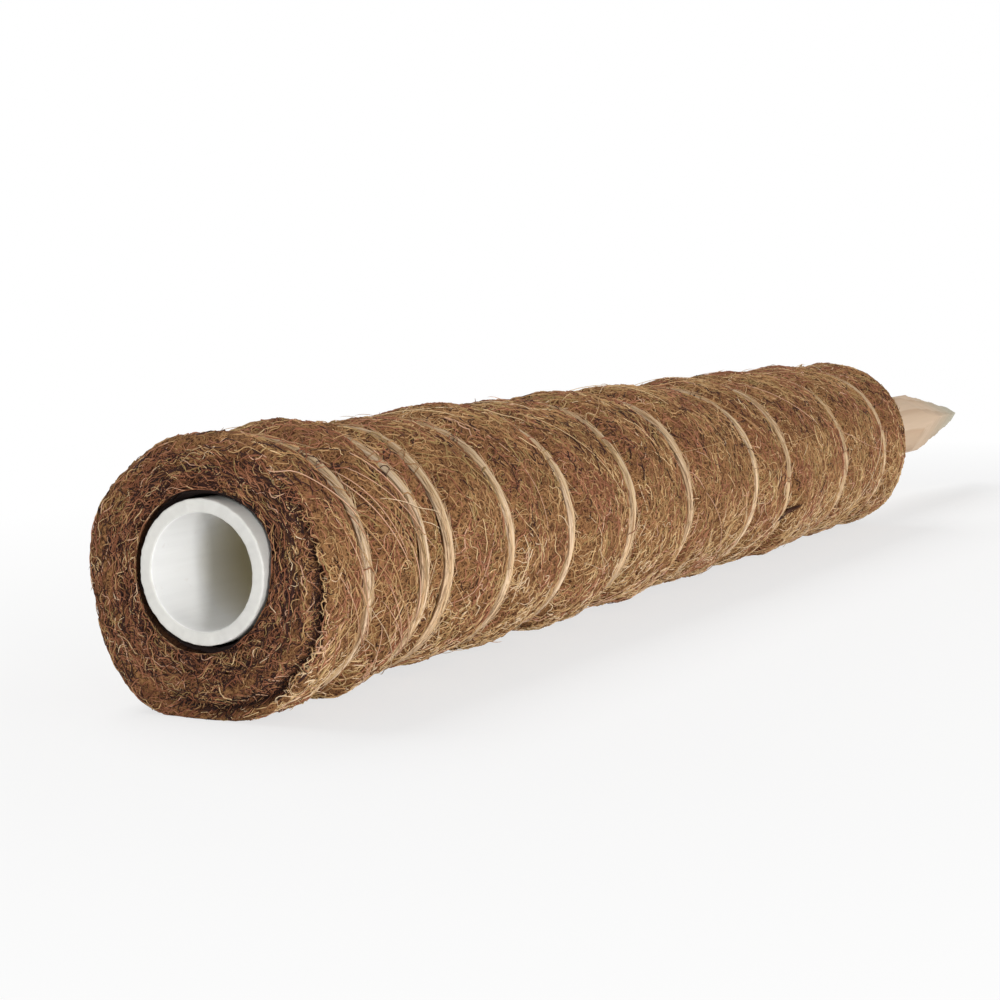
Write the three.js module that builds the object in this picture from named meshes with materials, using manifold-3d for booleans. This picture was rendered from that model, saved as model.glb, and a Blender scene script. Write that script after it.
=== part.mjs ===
// Moss pole: a plastic tube wrapped in coir felt, bound with one length of twine, with a pointed wooden
// stake pushed into its lower end. The open end of the tube takes the stake of another pole.
// Millimetres, +Z up. The pole lies along X, open end at low X, point at high X.
import * as THREE from "three";
import { mergeVertices } from "three/addons/utils/BufferGeometryUtils.js";
import Module from "manifold-3d";

// Tube
const TUBE_LENGTH = 315;
const TUBE_DIAMETER = 23;
const TUBE_WALL = 2.2;
const TUBE_PROUD = 1.2; // how far the open end stands out of the coir
const TUBE_SIDES = 48;

// Stake
const STAKE_LENGTH = 210;
const STAKE_INSERT = 75; // length that sits in the tube
const STAKE_FIT = 0.3; // gap all round in the tube's bore
const POINT_LENGTH = 75;
const POINT_BLUNT = 1.4; // width of the blunt square tip
const POINT_FACETS = 4;
const POINT_TWIST = 30; // degrees by which the facets are turned from facing up, down and sideways

// Coir
const INNER_WRAP_THICKNESS = 4.6;
const OUTER_WRAP_THICKNESS = 5.8; // mean over its fullest ring, which makes the pole 45 across
const COIR_SAG = 1.3; // the coir's middle lies this far below the tube's
const WRAP_GAP = 0.3; // between tube, inner wrap and outer wrap
const COIR_EDGE_ROUND = 2.5;
const EDGE_STEPS = 3; // rings in each rounded edge
const REST_FLAT_DEPTH = 0.5; // the underside is pressed flat by this much
const ROW_STEP = 4; // spacing of the rings along the coir

// Twine
const TWINE_WIDTH = 2.2;
const TWINE_HEIGHT = 1.6;
const TWINE_SIDES = 6;
const STEPS_PER_TURN = 24;
const GROOVE_DEPTH = 3.2; // how far a turn draws the coir in
const GROOVE_HALF_WIDTH = 3.5; // distance from the twine at which the groove is half as deep
const TWINE_GAP = 0.6; // between the twine and the bottom of its groove
const FIRST_TURN_INSET = 14.6; // from the coir's end to the first turn, on the near side
const LAST_TURN_INSET = 17.5;
const TURN_STEPS = [18.2, 8.5, 23.3, 25.4, 30, 31.3, 41.5, 23.5, 44.5, 35.5]; // hand-wound, one lap doubled
const TIE_STEP = 12; // step from the first and the last turn to their ties
const FAR_SIDE_LEAN = 0.65; // share of each step's slope that falls on the far side
const TIE_COLUMN = 2; // the ties are this many columns above the far side
const GROOVE_RUN_OUT = 3; // columns by which the groove runs on under the knots

// Knots
const KNOT_LENGTH = 5;
const KNOT_DIAMETER = 4;
const KNOT_END_DIAMETER = 2.6;
const KNOT_TAPER = 1.6; // length of each tapered end
const KNOT_SIDES = 12;
const KNOT_GAP = 0.3;

// Sizes that follow
const TURN = 2 * Math.PI;
const HALF_TURN = 0.5; // the near side is half a turn from the far side, where turns are counted from
const tubeBore = TUBE_DIAMETER / 2 - TUBE_WALL;
const stakeRadius = tubeBore - STAKE_FIT;
const coirStart = TUBE_PROUD;
const coirEnd = TUBE_LENGTH;
const innerWrapBore = TUBE_DIAMETER / 2 + WRAP_GAP;
const innerWrapRadius = innerWrapBore + INNER_WRAP_THICKNESS;
const outerWrapBore = innerWrapRadius + WRAP_GAP;
const coirRadius = outerWrapBore + OUTER_WRAP_THICKNESS;
const twineRadius = coirRadius - GROOVE_DEPTH + TWINE_GAP + TWINE_HEIGHT / 2;
const poleLength = TUBE_LENGTH - STAKE_INSERT + STAKE_LENGTH;
const restHeight = coirRadius - REST_FLAT_DEPTH; // of the coir's middle

// A ring of sides whose flats, not its corners, lie at this radius
const cornerRadius = (flatRadius, sides) => flatRadius / Math.cos(Math.PI / sides);

// Angles run from the far side (+Y) over the top (+Z) to the near side (-Y); a flat faces straight down
const columnAngle = (column) => ((column + 0.5) / STEPS_PER_TURN) * TURN;

function polar(x, radius, angle) {
  return new THREE.Vector3(x, radius * Math.cos(angle), radius * Math.sin(angle));
}

// Where each turn crosses the near side, with one more place beyond each end for the ties
function nearSideCrossings() {
  const wound = TURN_STEPS.reduce((sum, step) => sum + step, 0);
  const room = coirEnd - coirStart - FIRST_TURN_INSET - LAST_TURN_INSET;
  const places = [coirStart + FIRST_TURN_INSET];
  for (const step of TURN_STEPS) {
    places.push(places.at(-1) + (step * room) / wound);
  }
  return [places[0] - TIE_STEP, ...places, places.at(-1) + TIE_STEP];
}
const crossings = nearSideCrossings();
const turnCount = TURN_STEPS.length + 1;

// Place of the twine along the pole, by turns counted from the far side; most of each step is on that side
function twinePlace(turns) {
  const steps = turns + HALF_TURN;
  const index = Math.min(Math.max(Math.floor(steps), 0), crossings.length - 2);
  const part = steps - index;
  const eased = part - (FAR_SIDE_LEAN * Math.sin(TURN * part)) / TURN;
  return crossings[index] + (crossings[index + 1] - crossings[index]) * eased;
}

// Every place where a groove crosses one column of the coir
function groovePlaces(column) {
  const places = [];
  for (let turn = -1; turn <= turnCount; turn += 1) {
    const columnsFromTie = turn * STEPS_PER_TURN + column - TIE_COLUMN;
    const wound = turnCount * STEPS_PER_TURN;
    if (columnsFromTie >= -GROOVE_RUN_OUT && columnsFromTie <= wound + GROOVE_RUN_OUT) {
      places.push(twinePlace(turn + columnAngle(column) / TURN));
    }
  }
  return places;
}

// Depth of the coir's surface below its full radius, drawn in softly on both sides of each groove
function drawnIn(x, grooves) {
  const nearest = Math.min(...grooves.map((place) => Math.abs(x - place)));
  return GROOVE_DEPTH / (1 + (nearest / GROOVE_HALF_WIDTH) ** 2);
}

// Closed surface through rings of points; squares are split along the lower diagonal, so valleys stay open
function ringGeometry(rings, closeOnItself) {
  const count = rings[0].length;
  const positions = [];
  const indices = [];
  const height = (point) => Math.hypot(point.y, point.z);
  rings.flat().forEach((point) => positions.push(point.x, point.y, point.z));
  const bands = closeOnItself ? rings.length : rings.length - 1;
  for (let ring = 0; ring < bands; ring += 1) {
    const next = (ring + 1) % rings.length;
    for (let side = 0; side < count; side += 1) {
      const across = (side + 1) % count;
      const [a, b] = [ring * count + side, ring * count + across];
      const [c, d] = [next * count + across, next * count + side];
      const rising = height(rings[ring][side]) + height(rings[next][across]);
      const falling = height(rings[ring][across]) + height(rings[next][side]);
      indices.push(...(rising < falling ? [a, b, c, a, c, d] : [a, b, d, b, c, d]));
    }
  }
  if (!closeOnItself) {
    const last = (rings.length - 1) * count;
    for (let side = 1; side < count - 1; side += 1) {
      indices.push(0, side + 1, side);
      indices.push(last, last + side, last + side + 1);
    }
  }
  const geometry = new THREE.BufferGeometry();
  geometry.setAttribute("position", new THREE.Float32BufferAttribute(positions, 3));
  geometry.setIndex(indices);
  geometry.computeVertexNormals();
  return geometry;
}

// Sleeve round the pole's axis
function sleeveGeometry(start, end, bore, radius) {
  const inside = cornerRadius(bore, TUBE_SIDES);
  const profile = [
    new THREE.Vector2(inside, start),
    new THREE.Vector2(radius, start),
    new THREE.Vector2(radius, end),
    new THREE.Vector2(inside, end),
    new THREE.Vector2(inside, start),
  ];
  return new THREE.LatheGeometry(profile, TUBE_SIDES).rotateZ(-TURN / 4);
}

// Outer coir: rounded at both ends, drawn in along the twine, pressed flat where it lies. It is shaped round
// its own middle and then lowered, as the twine is, so that its bore sits on the inner wrap.
function outerWrapGeometry() {
  const edge = (step) => {
    const angle = (step / EDGE_STEPS) * (TURN / 4);
    const inset = COIR_EDGE_ROUND * (1 - Math.cos(angle));
    const drop = COIR_EDGE_ROUND * (1 - Math.sin(angle));
    return { inset, drop };
  };
  const sections = [];
  for (let step = 0; step < EDGE_STEPS; step += 1) {
    sections.push({ x: coirStart + edge(step).inset, drop: edge(step).drop });
  }
  const bodyStart = coirStart + COIR_EDGE_ROUND;
  const bodyEnd = coirEnd - COIR_EDGE_ROUND;
  const rows = Math.round((bodyEnd - bodyStart) / ROW_STEP);
  for (let row = 0; row <= rows; row += 1) {
    sections.push({ x: bodyStart + ((bodyEnd - bodyStart) * row) / rows, drop: 0 });
  }
  for (let step = EDGE_STEPS - 1; step >= 0; step -= 1) {
    sections.push({ x: coirEnd - edge(step).inset, drop: edge(step).drop });
  }

  const bore = cornerRadius(outerWrapBore, STEPS_PER_TURN);
  const rings = [[], ...sections.map(() => []), []];
  for (let column = 0; column < STEPS_PER_TURN; column += 1) {
    const angle = columnAngle(column);
    const grooves = groovePlaces(column);
    const places = sections.map((section) => section.x);
    for (const groove of grooves) {
      const offsets = places.map((x) => Math.abs(x - groove));
      places[offsets.indexOf(Math.min(...offsets))] = groove; // the nearest ring runs along the groove
    }
    const inside = polar(coirStart, bore, angle);
    inside.z += COIR_SAG;
    rings[0].push(inside);
    sections.forEach((section, index) => {
      const x = places[index];
      const point = polar(x, coirRadius - section.drop - drawnIn(x, grooves), angle);
      point.z = Math.max(point.z, -restHeight);
      rings[index + 1].push(point);
    });
    rings.at(-1).push(inside.clone().setX(coirEnd));
  }
  return ringGeometry(rings, true).translate(0, 0, -COIR_SAG);
}

// Path of the twine, one point to a column, from tie to tie
function twinePath() {
  const path = [];
  for (let step = 0; step <= turnCount * STEPS_PER_TURN; step += 1) {
    const column = step + TIE_COLUMN;
    path.push(polar(twinePlace(columnAngle(column) / TURN), twineRadius, columnAngle(column)));
  }
  return path;
}

// Direction in which the twine leaves an end of its path
const leaving = (path, end, inner) => path.at(end).clone().sub(path.at(inner)).normalize();

// Twine: one unbroken flat tube, its ends straight for its own width
function twineGeometry(path) {
  const start = path[0].clone().addScaledVector(leaving(path, 0, 1), TWINE_WIDTH);
  const end = path.at(-1).clone().addScaledVector(leaving(path, -1, -2), TWINE_WIDTH);
  const points = [start, ...path, end];
  const rings = points.map((point, index) => {
    const before = points[Math.max(index - 1, 0)];
    const after = points[Math.min(index + 1, points.length - 1)];
    const along = after.clone().sub(before).normalize();
    const outward = new THREE.Vector3(0, point.y, point.z);
    outward.addScaledVector(along, -outward.dot(along)).normalize();
    const across = along.clone().cross(outward);
    const ring = [];
    for (let side = 0; side < TWINE_SIDES; side += 1) {
      const angle = ((side + 0.5) / TWINE_SIDES) * TURN;
      const corner = point.clone().addScaledVector(outward, (Math.cos(angle) * TWINE_HEIGHT) / 2);
      ring.push(corner.addScaledVector(across, (Math.sin(angle) * TWINE_WIDTH) / 2));
    }
    return ring;
  });
  return ringGeometry(rings, false).translate(0, 0, -COIR_SAG);
}

// Least gap between one turn of the twine and the next, measured on the points of its path
function leastTurnGap(path) {
  let least = Infinity;
  path.forEach((point, index) => {
    for (let other = index + STEPS_PER_TURN / 2; other < path.length; other += 1) {
      least = Math.min(least, point.distanceTo(path[other]) - TWINE_WIDTH);
    }
  });
  return least;
}

// Knot: a small barrel on the end of the twine, level with its underside
function knotGeometry() {
  const profile = [
    new THREE.Vector2(0, 0),
    new THREE.Vector2(KNOT_END_DIAMETER / 2, 0),
    new THREE.Vector2(KNOT_DIAMETER / 2, KNOT_TAPER),
    new THREE.Vector2(KNOT_DIAMETER / 2, KNOT_LENGTH - KNOT_TAPER),
    new THREE.Vector2(KNOT_END_DIAMETER / 2, KNOT_LENGTH),
    new THREE.Vector2(0, KNOT_LENGTH),
  ];
  return new THREE.LatheGeometry(profile, KNOT_SIDES);
}

function placeKnot(mesh, path, end, inner) {
  const direction = leaving(path, end, inner);
  const tip = path.at(end);
  const outward = new THREE.Vector3(0, tip.y, tip.z).normalize();
  mesh.quaternion.setFromUnitVectors(new THREE.Vector3(0, 1, 0), direction);
  mesh.position.copy(tip).addScaledVector(direction, TWINE_WIDTH + KNOT_GAP);
  mesh.position.addScaledVector(outward, (KNOT_DIAMETER - TWINE_HEIGHT) / 2);
  mesh.position.z -= COIR_SAG;
}

// Solids for cutting
const wasm = await Module();
wasm.setup();

function solidOf(geometry) {
  const bare = geometry.clone();
  bare.deleteAttribute("normal");
  bare.deleteAttribute("uv");
  const merged = mergeVertices(bare);
  const vertProperties = merged.getAttribute("position").array;
  const triVerts = new Uint32Array(merged.index.array);
  return new wasm.Manifold(new wasm.Mesh({ numProp: 3, vertProperties, triVerts }));
}

function geometryOf(solid) {
  const { vertProperties, triVerts } = solid.getMesh();
  const geometry = new THREE.BufferGeometry();
  geometry.setAttribute("position", new THREE.BufferAttribute(vertProperties, 3));
  geometry.setIndex(new THREE.BufferAttribute(triVerts, 1));
  geometry.computeVertexNormals();
  return geometry;
}

// Stake: a round dowel cut to a point by flat facets
function stakeGeometry() {
  const start = TUBE_LENGTH - STAKE_INSERT;
  const dowel = new THREE.CylinderGeometry(stakeRadius, stakeRadius, STAKE_LENGTH, TUBE_SIDES);
  dowel.rotateZ(-TURN / 4).translate(start + STAKE_LENGTH / 2, 0, 0);
  let stake = solidOf(dowel);
  const slope = Math.atan2(stakeRadius - POINT_BLUNT / 2, POINT_LENGTH);
  const block = 2 * (POINT_LENGTH + stakeRadius);
  for (let facet = 0; facet < POINT_FACETS; facet += 1) {
    const cut = new THREE.BoxGeometry(block, block, block).translate(0, 0, block / 2);
    cut.rotateY(slope).translate(poleLength, 0, POINT_BLUNT / 2);
    cut.rotateX((facet / POINT_FACETS + POINT_TWIST / 360) * TURN);
    stake = stake.subtract(solidOf(cut));
  }
  return geometryOf(stake);
}

// Finishes
const whitePlastic = { color: 0xe6e3ea, roughness: 0.4, metalness: 0 };
const paleWood = { color: 0xcdb49b, roughness: 0.75, metalness: 0 };
const darkCoir = { color: 0x5f4128, roughness: 1, metalness: 0 };
const brownCoir = { color: 0x8c643c, roughness: 1, metalness: 0 };
const strawTwine = { color: 0xd2b991, roughness: 0.95, metalness: 0 };

const pole = new THREE.Group();
pole.position.set(-poleLength / 2, 0, restHeight + COIR_SAG);

function addPiece(name, geometry, finish) {
  const mesh = new THREE.Mesh(geometry, new THREE.MeshStandardMaterial(finish));
  mesh.name = name;
  pole.add(mesh);
  return mesh;
}

const path = twinePath();
console.log(`least gap between turns of twine: ${leastTurnGap(path).toFixed(2)} mm`);

addPiece("core_tube", sleeveGeometry(0, TUBE_LENGTH, tubeBore, TUBE_DIAMETER / 2), whitePlastic);
addPiece("ground_stake", stakeGeometry(), paleWood);
addPiece("coir_inner_wrap", sleeveGeometry(coirStart, coirEnd, innerWrapBore, innerWrapRadius), darkCoir);
addPiece("coir_outer_wrap", outerWrapGeometry(), brownCoir);
addPiece("binding_twine", twineGeometry(path), strawTwine);
placeKnot(addPiece("twine_knot_start", knotGeometry(), strawTwine), path, 0, 1);
placeKnot(addPiece("twine_knot_end", knotGeometry(), strawTwine), path, -1, -2);

export default pole;
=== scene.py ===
"""Looks of the moss pole: coir felt, twine, plastic tube and wooden stake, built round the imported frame.

Sizes are written in millimetres along the pole, from the tube's mouth at 0 to the stake's tip at 450, and are
turned into the frame's metres when a mesh is made. Angles run from the far side (+Y) over the top (+Z).
"""

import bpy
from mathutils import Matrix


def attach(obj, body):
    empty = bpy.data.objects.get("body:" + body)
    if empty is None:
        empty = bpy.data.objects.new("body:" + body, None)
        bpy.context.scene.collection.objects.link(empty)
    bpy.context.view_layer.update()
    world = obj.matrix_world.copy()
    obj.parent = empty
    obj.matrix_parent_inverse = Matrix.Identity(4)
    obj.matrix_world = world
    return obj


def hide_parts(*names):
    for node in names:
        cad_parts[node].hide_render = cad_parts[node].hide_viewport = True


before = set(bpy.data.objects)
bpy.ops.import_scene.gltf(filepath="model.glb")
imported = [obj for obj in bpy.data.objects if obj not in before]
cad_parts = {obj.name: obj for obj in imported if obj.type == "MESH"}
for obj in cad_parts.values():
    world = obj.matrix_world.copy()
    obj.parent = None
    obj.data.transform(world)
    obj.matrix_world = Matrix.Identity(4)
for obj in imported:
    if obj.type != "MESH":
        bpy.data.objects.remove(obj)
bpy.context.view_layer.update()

import math

import bpy
import numpy as np
from mathutils import Vector

TURN = 2 * math.pi
GOLDEN_ANGLE = 2.39996
MM = 0.001
FAR_OFF = 99.0  # farther than any turn of the twine or cut of the stake

# Place in the frame
POLE_MIDDLE = 225.0
AXIS_HEIGHT = 22.0
FLOOR_CLEARANCE = 0.05

# Tube
TUBE_LENGTH = 315.0
TUBE_RADIUS = 11.5
TUBE_BORE = 9.3
TUBE_RISE = 1.3  # the tube's axis lies this far above the coir's
RIM_BEVEL = 0.35
RIM_REACH = 1.2  # the tube's sides are plain from here on
# Painted shade deep in the bore, darker and yellower from each mouth inwards
PAINTED_BORE_SHADE = [(12, 26, 0.85), (303, 289, 1.0)]  # by each mouth: where one starts and is full, its share

# Stake
STAKE_START = 240.0
STAKE_END = 450.0
STAKE_RADIUS = 9.0
STAKE_CHAMFER = 0.7
POINT_LENGTH = 75.0
POINT_HALF_BLUNT = 1.3
POINT_FACETS = 4
POINT_TWIST = math.radians(30)
FACET_SOFTNESS = 0.16
TIP_ROUND = 4.0
GREY_POINT = (400, 447, 0.8)  # where the wood starts to grey and is greyest, the share of grey

# Coir
COIR_START = 0.8
COIR_END = 315.0
COIR_RADIUS = 22.9
INNER_BORE = 11.85
LAYER_RADIUS = 16.5
FACE_INSIDE = 12.2
FACE_OUTSIDE = 22.2
BROAD_SWELL = 0.42
SMALL_SWELL = 0.2
EDGE_ROUND = 2.2
SLUMPED_ROUND = 3.9  # the open end's edge has slumped on the upper near side
SLUMP_DEGREES = 122.0
SLUMP_BREADTH = 38.0
CREASE_RADIUS = 20.3
CREASE_DEPTH = 3.0
GAP_BY_TUBE = 1.0
DRAWN_BACK_RADIUS = 18.5
DRAWN_BACK_BREADTH = 5.0
LIP_RADIUS = 13.8
LIP_DEPTH = 4.5
SLIT_PLACE = 220.5
SLIT_DEGREES = 206.0
SLIT_HALF_LENGTH = 5.2
SLIT_HALF_WIDTH = 0.6
SLIT_DEPTH = 1.5
SLIT_ALONG = math.cos(math.radians(30))
SLIT_AROUND = math.sin(math.radians(30))

# Bulges of the coir: place, angle in degrees, height, length and breadth in degrees. The open end has a flat
# between two bulges on the far side, and two of the crests between the turns are fuller.
BULGES = [
    (0.8, 30, 0.8, 9, 18), (0.8, 345, -0.9, 9, 18), (0.8, 303, 1.0, 9, 20), (26, 97, 0.9, 8, 32),
    (78, 102, 0.8, 9, 30),
]

# Humps round the pole: height, angle and breadth in degrees
DRAWN_BACK = [(2.4, 132, 30), (-0.5, 212, 42)]  # how far the open face lies back beside the tube
# Painted light and shade on the coir's side: strands lighter low on the near side, darker on its upper part
SIDE_PAINTED_LIGHT = [(1.35, 230, 36), (-0.85, 138, 26)]  # lightness of the strands on the coir's side
FACE_TONES = [(0.4, 5, 45)]  # lightness of the strands on its end faces

# Twine
TWINE_RADIUS = 20.9
TWINE_HALF_WIDTH = 1.0
TWINE_HALF_HEIGHT = 0.75
GROOVE_DEPTH = 3.1
GROOVE_HALF_WIDTH = 2.7
TIGHTEST = 1.1
FIRST_TURN = 15.8
TURN_STEPS = [18.2, 8.5, 23.3, 25.4, 30, 31.3, 41.5, 23.5, 44.5, 35.5]
TIE_STEP = 12.0
TIE_TURN = 2.5 / 24
RUN_OUT = 3 / 24
RUN_OUT_EASE = 0.06
FAR_SIDE_LEAN = 0.65
WANDER = [(0.34, 1.37, 0.8), (0.22, 3.1, 2.1), (0.12, 6.7, 4.0)]  # waves by height, rate and phase
# Painted light and shade on the wound twine: lighter below the axis, darker on top
TWINE_PAINTED_LIGHT = (-10.4, 18.8, 1.2, 0.74)  # two heights from the coir's axis, and the share of the colour at each

# Colours, in sRGB steps of 0 to 255
COIR_COLOURS = [
    (90, 57, 35), (119, 78, 49), (146, 93, 66), (173, 118, 87), (160, 116, 75), (177, 134, 90),
    (169, 139, 90), (193, 153, 106), (208, 172, 123), (220, 187, 141), (216, 172, 142), (232, 204, 168),
    # The last two colours are painted shade, for the crease, the slit and the gap by the tube
    (58, 32, 26), (30, 18, 15),
]
# DARK is the felt's darkest tone, and also painted shade in the crease and the slit. The last column is
# painted shade only.
DARK = 12
PAINTED_SHADE_DARKEST = 13
GOLDEN = np.array([DARK, 1, 4, 6, 5, 7, 8, 9, 11])  # columns of the coir's colours, from dark to light
REDDISH = np.array([DARK, 1, 2, 2, 3, 3, 7, 10, 9])
TWINE_COLOURS = [
    (182, 148, 110), (194, 161, 123), (203, 171, 135), (209, 179, 143), (214, 186, 152), (219, 193, 162),
    (205, 178, 137), (215, 185, 147),
]
TWINE_FROM_DARK = np.array([0, 1, 6, 2, 3, 7, 4, 5])
STRAND_MAP = "OFBake"  # map of a strand: its colour's column across, and the way along it upwards

# Camera and lamps, in metres
CAMERA_PLACE = (-0.49958, -0.18813, 0.06793)
CAMERA_AIM = (0.8910, 0.4428, -0.1007)
CAMERA_LENS = 77.43
OPEN_END = (-0.225, 0.0, 0.02)
LAMPS = [  # name, place, target, width, height, watts
    ("key", (-1.03, -1.1, 0.065), OPEN_END, 0.3, 0.11, 11.2),
    ("front", (-1.35, -0.36, 0.15), OPEN_END, 0.4, 0.4, 2.5),
    ("low", (0.35, -1.0, 0.05), (0.1, 0.0, 0.02), 1.2, 0.09, 5.6),
    ("back", (0.0, 0.65, 1.1), (0.0, 0.0, 0.02), 1.2, 0.7, 10.3),
]
WORLD_STRENGTH = 0.25
FLOOR_HALF = 12.0


def metres(points):
    """Points in millimetres along the pole, as metres in the frame, none of them below the floor."""
    placed = np.array(points, dtype=float)
    placed[..., 0] -= POLE_MIDDLE
    placed[..., 2] = np.maximum(placed[..., 2] + AXIS_HEIGHT, FLOOR_CLEARANCE)
    return placed * MM


def polar(x, radius, angle):
    return np.stack(np.broadcast_arrays(x, radius * np.cos(angle), radius * np.sin(angle)), axis=-1)


def raised(points):
    """Points round the coir's axis, moved up to lie round the tube's."""
    return np.add(points, (0.0, 0.0, TUBE_RISE))


def angle_of(points):
    return np.arctan2(points[..., 2], points[..., 1])


def from_axis(points, rise=0.0):
    """Distance of points from the coir's axis, or from one that lies higher."""
    return np.hypot(points[..., 1], points[..., 2] - rise)


def unit(vectors):
    return vectors / (np.linalg.norm(vectors, axis=-1, keepdims=True) + 1e-9)


def ring_angles(sides):
    return np.arange(sides) / sides * TURN


def turned_from(angle, degrees):
    """The way round from an angle in degrees, at most half a turn."""
    return np.angle(np.exp(1j * (angle - math.radians(degrees))))


def hump(angle, middle, breadth):
    """A soft hump of height 1 round the pole, by its middle and breadth in degrees."""
    return np.exp(-(turned_from(angle, middle) / math.radians(breadth)) ** 2)


def humps(angle, table):
    return sum(height * hump(angle, middle, breadth) for height, middle, breadth in table)


def ripple(value, *waves):
    """Sum of sine waves along a value, each by its height, rate and phase."""
    return sum(height * np.sin(rate * value + phase) for height, rate, phase in waves)


def new_object(name, data):
    item = bpy.data.objects.new(name, data)
    bpy.context.scene.collection.objects.link(item)
    return item


class Draws:
    """Seeded draws for the strands of a piece: each is a column with one row for each strand."""

    def __init__(self, seed, count):
        self.rng = np.random.default_rng(seed)
        self.count = count

    def uniform(self, low, high):
        return self.rng.uniform(low, high, (self.count, 1))

    def normal(self, middle, spread):
        return self.rng.normal(middle, spread, (self.count, 1))

    def choice(self, options):
        return self.rng.choice(options, (self.count, 1))


# Materials

def linear(*steps):
    """A colour in sRGB steps, as the linear colour that the shaders take."""
    share = np.array(steps) / 255
    return (*np.where(share <= 0.04045, share / 12.92, ((share + 0.055) / 1.055) ** 2.4), 1.0)


class Nodes:
    """The nodes of a material or a world, and the few steps that build them."""

    def __init__(self, owner):
        owner.use_nodes = True
        self.owner = owner
        self.tree = owner.node_tree

    def feed(self, node, inputs):
        """Link each input that is another node's output, and set each that is a value."""
        for key, value in dict(inputs).items():
            if isinstance(value, bpy.types.NodeSocket):
                self.tree.links.new(value, node.inputs[key])
            else:
                node.inputs[key].default_value = value
        return node

    def add(self, kind, inputs=(), **settings):
        node = self.tree.nodes.new(kind)
        for key, value in settings.items():
            setattr(node, key, value)
        return self.feed(node, inputs)

    def object_coordinates(self, **mapping):
        place = self.add("ShaderNodeTexCoord").outputs["Object"]
        return self.add("ShaderNodeMapping", {"Vector": place, **mapping}).outputs["Vector"]

    def along(self, vector, axis):
        return self.add("ShaderNodeSeparateXYZ", {"Vector": vector}).outputs[axis]

    def number_math(self, operation, first, second):
        return self.add("ShaderNodeMath", {0: first, 1: second}, operation=operation).outputs[0]

    def vector_math(self, operation, *values, output="Vector"):
        return self.add("ShaderNodeVectorMath", enumerate(values), operation=operation).outputs[output]

    def noise(self, vector, scale, detail=4.0, roughness=0.6, distortion=0.0):
        inputs = {"Vector": vector, "Scale": scale, "Detail": detail, "Roughness": roughness,
                  "Distortion": distortion}
        return self.add("ShaderNodeTexNoise", inputs).outputs["Fac"]

    def fibres(self, vector, scale, bend_scale, bend_reach):
        """Distance to the nearest of many thin crossing lines, bent so that they run like loose fibres."""
        bend = self.add("ShaderNodeTexNoise", {"Vector": vector, "Scale": bend_scale}).outputs["Color"]
        bent = self.vector_math("MULTIPLY_ADD", bend, (bend_reach, bend_reach, bend_reach), vector)
        lines = self.add("ShaderNodeTexVoronoi", {"Vector": bent, "Scale": scale}, feature="DISTANCE_TO_EDGE")
        return lines.outputs["Distance"]

    def tube_radius(self, vector):
        """Distance from the tube's axis."""
        shifted = self.vector_math("SUBTRACT", vector, (0.0, 0.0, (AXIS_HEIGHT + TUBE_RISE) * MM))
        section = self.vector_math("MULTIPLY", shifted, (0.0, 1.0, 1.0))
        return self.vector_math("LENGTH", section, output="Value")

    def ramp(self, value, *stops, interpolation="LINEAR"):
        """Colours along a value. A stop is a position, and a colour in sRGB steps or a share of white."""
        node = self.add("ShaderNodeValToRGB", {"Fac": value})
        node.color_ramp.interpolation = interpolation
        elements = node.color_ramp.elements
        while len(elements) < len(stops):
            elements.new(1.0)
        for element, (position, colour) in zip(elements, stops):
            element.position = position
            element.color = linear(*colour) if isinstance(colour, tuple) else (colour, colour, colour, 1.0)
        return node.outputs["Color"]

    def mix(self, share, first, second, blend="MIX"):
        inputs = {0: share, 6: first, 7: second}
        return self.add("ShaderNodeMix", inputs, data_type="RGBA", blend_type=blend).outputs[2]

    def times(self, first, second):
        return self.mix(1.0, first, second, "MULTIPLY")

    def map_range(self, value, low, high, first, last):
        inputs = {"Value": value, "From Min": low, "From Max": high, "To Min": first, "To Max": last}
        return self.add("ShaderNodeMapRange", inputs).outputs["Result"]

    def share_along(self, start, full, share):
        """A share that grows from one place along the pole to another."""
        x = self.along(self.object_coordinates(), "X")
        return self.map_range(x, (start - POLE_MIDDLE) * MM, (full - POLE_MIDDLE) * MM, 0.0, share)

    def shader(self):
        return self.tree.nodes["Principled BSDF"]

    def bump(self, height, distance, strength):
        node = self.add("ShaderNodeBump", {"Height": height, "Distance": distance, "Strength": strength})
        self.feed(self.shader(), {"Normal": node.outputs["Normal"]})

    def blend_out(self, output, share, first, second):
        """Give out two shaders, mixed by a share."""
        mixer = self.add("ShaderNodeMixShader", {0: share, 1: first, 2: second})
        self.feed(self.tree.nodes[output], {"Surface": mixer.outputs["Shader"]})

    def shade(self, colour, roughness, specular):
        inputs = {"Base Color": colour, "Roughness": roughness, "Specular IOR Level": specular}
        self.feed(self.shader(), inputs)
        return self.owner


def material_nodes(name):
    return Nodes(bpy.data.materials.new(name))


def strand_look(name, colours, dark_ends, roughness, fade=None):
    """Material of strands and the number of its colours. Each strand takes one, and darkens towards its ends.
    fade paints light and shade by height: two heights from the coir's axis, and the share of the colour at
    each."""
    nodes = material_nodes(name)
    place = nodes.add("ShaderNodeUVMap", uv_map=STRAND_MAP).outputs["UV"]
    stops = [(index / len(colours), colour) for index, colour in enumerate(colours)]
    colour = nodes.ramp(nodes.along(place, "X"), *stops, interpolation="CONSTANT")
    ends = nodes.ramp(nodes.along(place, "Y"), (0.0, dark_ends), (0.22, 1.0), (0.45, 0.93), (0.7, 1.0),
                      (1.0, dark_ends))
    colour = nodes.times(colour, ends)
    # Painted light and shade: the colour is scaled by height, lighter low and darker high
    if fade:
        low, high, *shares = fade
        height = nodes.along(nodes.object_coordinates(), "Z")
        share = nodes.map_range(height, (AXIS_HEIGHT + low) * MM, (AXIS_HEIGHT + high) * MM, *shares)
        colour = nodes.times(colour, share)
    return nodes.shade(colour, roughness, 0.25), len(colours)


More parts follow.
